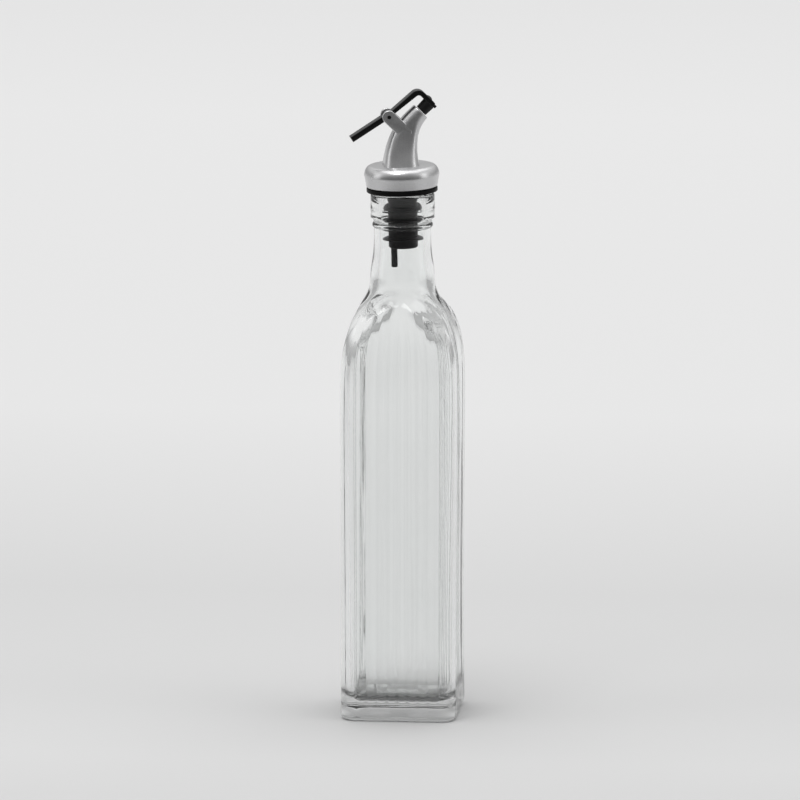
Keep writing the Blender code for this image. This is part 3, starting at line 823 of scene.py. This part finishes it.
def spout_centre(share):
    """Point and direction of the centre line: upright at its root, along the mouth's axis at its end."""
    bend = MOUTH - MOUTH_AXIS * MOUTH_REACH
    knots = (SPOUT_ROOT, SPOUT_ROOT + Vector((0.0, 0.0, SPOUT_RISE)), bend, MOUTH)
    rest = 1.0 - share
    weights = (rest**3, 3.0 * rest**2 * share, 3.0 * rest * share**2, share**3)
    point = sum((knot * weight for knot, weight in zip(knots, weights)), Vector())
    slopes = (rest**2, 2.0 * rest * share, share**2)
    spans = [after - before for before, after in zip(knots, knots[1:])]
    return point, sum((span * slope for span, slope in zip(spans, slopes)), Vector()).normalized()


def spout_ring(point, direction, half_length, half_depth, corner_share):
    """A rounded rectangle square to the centre line, its long side in the spout's plane at the root."""
    forward = Vector((direction.z, 0.0, -direction.x))
    corner = corner_share * min(half_length, half_depth)
    ring = []
    for quarter, (x_side, y_side) in enumerate(((1, 1), (-1, 1), (-1, -1), (1, -1))):
        for turn in spread(QUARTER_TURN * quarter, QUARTER_TURN * (quarter + 1), SPOUT_CORNER_STEPS):
            along = x_side * (half_length - corner) + corner * math.cos(turn)
            aside = y_side * (half_depth - corner) + corner * math.sin(turn)
            ring.append(point + forward * along + Vector((0.0, aside, 0.0)))
    return ring


def spout(material):
    """The swan neck, bevelled round its mouth, and the first stretch of its bore."""
    rings = []
    for share in spread(0.0, 1.0, SPOUT_STATIONS)[:-1]:
        point, direction = spout_centre(share)
        length = lerp(SPOUT_TUBE_RADIUS, SPOUT_ROOT_LENGTH, (1.0 - share) ** LENGTH_TAPER)
        depth = lerp(SPOUT_TUBE_RADIUS, SPOUT_ROOT_DEPTH, (1.0 - share) ** DEPTH_TAPER)
        change = smooth_step(share, CORNER_CHANGE_START, CORNER_CHANGE_END)
        corner_share = lerp(FLAT_CORNER, ROUND_CORNER, change)
        rings.append(spout_ring(point, direction, length, depth, corner_share))
    mouth = []
    for turn in spread(0.0, QUARTER_TURN, EDGE_STEPS):
        radius = SPOUT_TUBE_RADIUS - MOUTH_BEVEL * (1.0 - math.cos(turn))
        mouth.append((MOUTH_BEVEL * (1.0 - math.sin(turn)), radius))
    mouth.append((0.0, SPOUT_BORE_RADIUS + BORE_LIP))
    mouth += [(BORE_LIP, SPOUT_BORE_RADIUS), (BORE_DEPTH, SPOUT_BORE_RADIUS)]
    point, direction = spout_centre(1.0)
    for back, radius in mouth:
        rings.append(spout_ring(point - direction * back, direction, radius, radius, ROUND_CORNER))
    bm = swept(rings)
    finished("pourer_spout", bm, material, "bottle", place=POURER_FRAME, sharp=32.0)


def ear_outline():
    """A strip with a round end about the hinge that runs down into the spout's side."""
    run = (EAR_FOOT - HINGE).normalized()
    start = math.atan2(run.z, run.x) + QUARTER_TURN
    outline = []
    for turn in spread(start, start + math.pi, EAR_TOP_STEPS):
        outline.append(HINGE + EAR_RADIUS * side_direction(turn))
    for turn in spread(start + math.pi, start + math.tau, EAR_FOOT_STEPS):
        outline.append(EAR_FOOT + EAR_RADIUS * side_direction(turn))
    return outline


def ears(material):
    """Two hinge ears, which splay out towards their feet."""
    for side, near, far in (("near", -EAR_OUTER, -EAR_INNER), ("far", EAR_INNER, EAR_OUTER)):
        bm = plate(ear_outline(), near, far, EAR_BEVEL)
        for vertex in bm.verts:
            down = smooth_step(vertex.co.z, HINGE.z - EAR_RADIUS, EAR_FOOT.z - EAR_RADIUS)
            vertex.co.y += math.copysign(EAR_SPLAY * down, near)
        name = "hinge_ear_" + side
        finished(name, bm, material, "bottle", place=POURER_FRAME, sharp=30.0)


# Lever and plug


def along_pad(distance):
    """A point on the pad's middle plane, so far from the crook towards the tab."""
    down = Vector((MOUTH_AXIS.z, 0.0, -MOUTH_AXIS.x))
    return CROOK_CENTRE + MOUTH_AXIS * CROOK_RADIUS + down * distance


def lever_outline():
    """Round the lever's side, from points along tail, arm, crook, pad and tab with half the thickness."""
    line = [(TAIL_TIP, TAIL_HALF), (lerp(TAIL_TIP, ARM_ROOT, TAIL_SHARE), TAIL_HALF)]
    line.append((ARM_ROOT, ARM_ROOT_HALF))
    start = ARM_ANGLE + QUARTER_TURN
    for turn in spread(start, MOUTH_ANGLE, CROOK_STEPS):
        half = lerp(CROOK_HALF, PAD_HALF, share_between(turn, start, MOUTH_ANGLE))
        line.append((CROOK_CENTRE + CROOK_RADIUS * side_direction(turn), half))
    line.append((along_pad(PAD_LENGTH - TAB_STEP), PAD_HALF))
    line.append((along_pad(PAD_LENGTH), TAB_HALF))
    line.append((along_pad(PAD_LENGTH + TAB_LENGTH), TAB_HALF))
    above = []
    below = []
    for index, (point, half) in enumerate(line):
        before = line[max(index - 1, 0)][0]
        after = line[min(index + 1, len(line) - 1)][0]
        run = (after - before).normalized()
        left = Vector((-run.z, 0.0, run.x))
        above.append(point + left * half)
        below.append(point - left * half)
    return below + above[::-1]


def lever(material):
    """Blade, hub and trunnions."""
    half = 0.5 * LEVER_WIDTH
    blade = plate(lever_outline(), -half, half, LEVER_EDGE)
    finished("lever_blade", blade, material, "lever", ["flap_lever"], POURER_FRAME)
    hub = cross_rod(HINGE, HUB_RADIUS, half - HUB_INSET, ROD_EDGE)
    finished("lever_hub", hub, material, "lever", place=POURER_FRAME)
    pins = cross_rod(HINGE, TRUNNION_RADIUS, EAR_OUTER + TRUNNION_PROUD, ROD_EDGE)
    finished("lever_trunnions", pins, material, "lever", place=POURER_FRAME)


def lever_dome(material):
    """The low dome on the pad's back: a flattened ball, cut off inside the pad."""
    bm = bmesh.new()
    bmesh.ops.create_uvsphere(bm, u_segments=48, v_segments=24, radius=DOME_RADIUS)
    flattening = (DOME_HEIGHT + PAD_HALF) / DOME_RADIUS
    bmesh.ops.scale(bm, vec=(1.0, 1.0, flattening), verts=bm.verts)
    cut = bmesh.ops.bisect_plane(
        bm,
        geom=list(bm.verts) + list(bm.edges) + list(bm.faces),
        plane_co=(0.0, 0.0, DOME_CUT),
        plane_no=(0.0, 0.0, -1.0),
        clear_outer=True,
    )
    rim = [part for part in cut["geom_cut"] if isinstance(part, bmesh.types.BMEdge)]
    bmesh.ops.holes_fill(bm, edges=rim, sides=0)
    place = POURER_FRAME @ Matrix.Translation(along_pad(DOME_OFFSET)) @ MOUTH_TILT
    finished("lever_dome", bm, material, "lever", place=place)


def seal_plug(material):
    """The tapered plug between the pad and the mouth."""
    profile = [(0.0, PLUG_HEIGHT), (PLUG_TOP_RADIUS - PLUG_EDGE, PLUG_HEIGHT)]
    profile += [(PLUG_TOP_RADIUS, PLUG_HEIGHT - PLUG_EDGE), (PLUG_TIP_RADIUS, PLUG_EDGE)]
    profile += [(PLUG_TIP_RADIUS - PLUG_EDGE, 0.0), (0.0, 0.0)]
    bm = spun(profile, SMALL_TURNED_STEPS)
    place = POURER_FRAME @ Matrix.Translation(MOUTH + MOUTH_AXIS * PLUG_GAP) @ MOUTH_TILT
    finished("mouth_plug", bm, material, "lever", ["seal_plug"], place)


# Floor, light and camera


def studio_floor():
    """A pale floor with light and shade painted into its colour: lighter far behind the bottle, a painted
    soft shadow just behind it, and painted shade well in front of it.
    """
    bm = bmesh.new()
    bmesh.ops.create_grid(bm, x_segments=1, y_segments=1, size=FLOOR_HALF)
    mesh = bpy.data.meshes.new("floor")
    bm.to_mesh(mesh)
    bm.free()
    material, tree, shader = node_material("pale_sweep", (0.8, 0.8, 0.8), 0.75)
    shader.inputs["Specular IOR Level"].default_value = 0.1
    nearest = FLOOR_PAINTED_LIGHT_AND_SHADE[0][0]
    farthest = FLOOR_PAINTED_LIGHT_AND_SHADE[-1][0]
    # Painted light and shade: the floor's colour follows its depth, with a painted soft shadow behind the
    # bottle and painted shade in front.
    ramp = tree.nodes.new("ShaderNodeValToRGB")
    stops = ramp.color_ramp.elements
    for depth, _ in FLOOR_PAINTED_LIGHT_AND_SHADE[1:-1]:
        stops.new(share_between(depth, nearest, farthest))
    for stop, (depth, tone) in zip(stops, FLOOR_PAINTED_LIGHT_AND_SHADE):
        stop.color = (tone, tone, tone, 1.0)
    share = ranged(tree, coordinate(tree, "Object", "Y"), nearest, farthest, 0.0, 1.0)
    tree.links.new(share, ramp.inputs["Fac"])
    tree.links.new(ramp.outputs["Color"], shader.inputs["Base Color"])
    mesh.materials.append(material)
    floor = in_scene("floor", mesh)


def studio_world():
    """Light from behind and above, and a darker room on the side that the camera looks from."""
    world = bpy.data.worlds.new("studio")
    bpy.context.scene.world = world
    world.use_nodes = True
    tree = world.node_tree
    height = coordinate(tree, "Generated", "Z")
    above = ranged(tree, height, SKY_LOW, SKY_HIGH, SKY_LOW_LIGHT, SKY_HIGH_LIGHT, "SMOOTHSTEP")
    depth = coordinate(tree, "Generated", "Y")
    behind = ranged(tree, depth, FRONT, BACK, FRONT_LIGHT, 1.0, "SMOOTHSTEP")
    product = tree.nodes.new("ShaderNodeMath")
    product.operation = "MULTIPLY"
    tree.links.new(above, product.inputs[0])
    tree.links.new(behind, product.inputs[1])
    background = tree.nodes["Background"]
    tree.links.new(product.outputs["Value"], background.inputs["Color"])
    background.inputs["Strength"].default_value = 1.0


def softbox(name, place, target, size, power):
    """A rectangular light that shines on the glass but isn't seen through it."""
    light = bpy.data.lights.new(name, "AREA")
    light.shape = "RECTANGLE"
    light.size, light.size_y = size
    light.energy = power
    box = in_scene(name, light)
    box.visible_transmission = False
    box.location = place
    box.rotation_euler = (Vector(target) - Vector(place)).to_track_quat("-Z", "Y").to_euler()


def camera():
    """The photograph's view, from far off with a long lens."""
    data = bpy.data.cameras.new("camera")
    data.lens = CAMERA_LENS
    data.sensor_width = SENSOR_WIDTH
    data.clip_end = CLIP_END
    seat = in_scene("camera", data)
    right = Vector((math.cos(CAMERA_SIDE), math.sin(CAMERA_SIDE), 0.0))
    aim = Vector((0.0, 0.0, AIM_HEIGHT)) + right * AIM_ASIDE
    turn = Matrix.Rotation(CAMERA_SIDE, 3, "Z") @ Matrix.Rotation(-CAMERA_RISE, 3, "X")
    back = turn @ Vector((0.0, -1.0, 0.0))
    seat.location = aim + back * CAMERA_DISTANCE
    seat.rotation_euler = (-back).to_track_quat("-Z", "Y").to_euler()
    bpy.context.scene.camera = seat


def main():
    bpy.context.scene.view_settings.view_transform = "Standard"
    studio_floor()
    studio_world()
    softbox("softbox_sky", place=(0.0, 0.8, 3.0), target=(0.0, 0.8, 0.0), size=(4.0, 4.0), power=38.0)
    softbox("softbox_above", place=(-0.15, -0.45, 1.2), target=(0.0, 0.0, 0.2), size=(0.45, 0.5), power=3.0)
    softbox("softbox_right", place=(1.3, -0.2, 0.55), target=(0.0, 0.0, 0.25), size=(0.5, 0.9), power=1.2)
    softbox("softbox_left", place=(-1.3, -0.3, 0.55), target=(0.0, 0.0, 0.25), size=(0.5, 0.9), power=1.2)
    camera()

    glass_bottle(clear_glass())
    stopper(black_moulding("stopper_black", 0.004, 0.38, grain=900.0, depth=0.00004, gloss=0.06))
    breather_tube(black_moulding("tube_black", 0.020, 0.45, grain=1200.0, depth=0.00004))
    silver = satin_silver()
    collar(silver)
    spout(silver)
    ears(silver)
    black = black_moulding("lever_black", 0.003, 0.26, grain=700.0, depth=0.00003, gloss=0.3)
    lever(black)
    lever_dome(black)
    seal_plug(black_moulding("plug_black", 0.006, 0.50, grain=1500.0, depth=0.00004))


main()
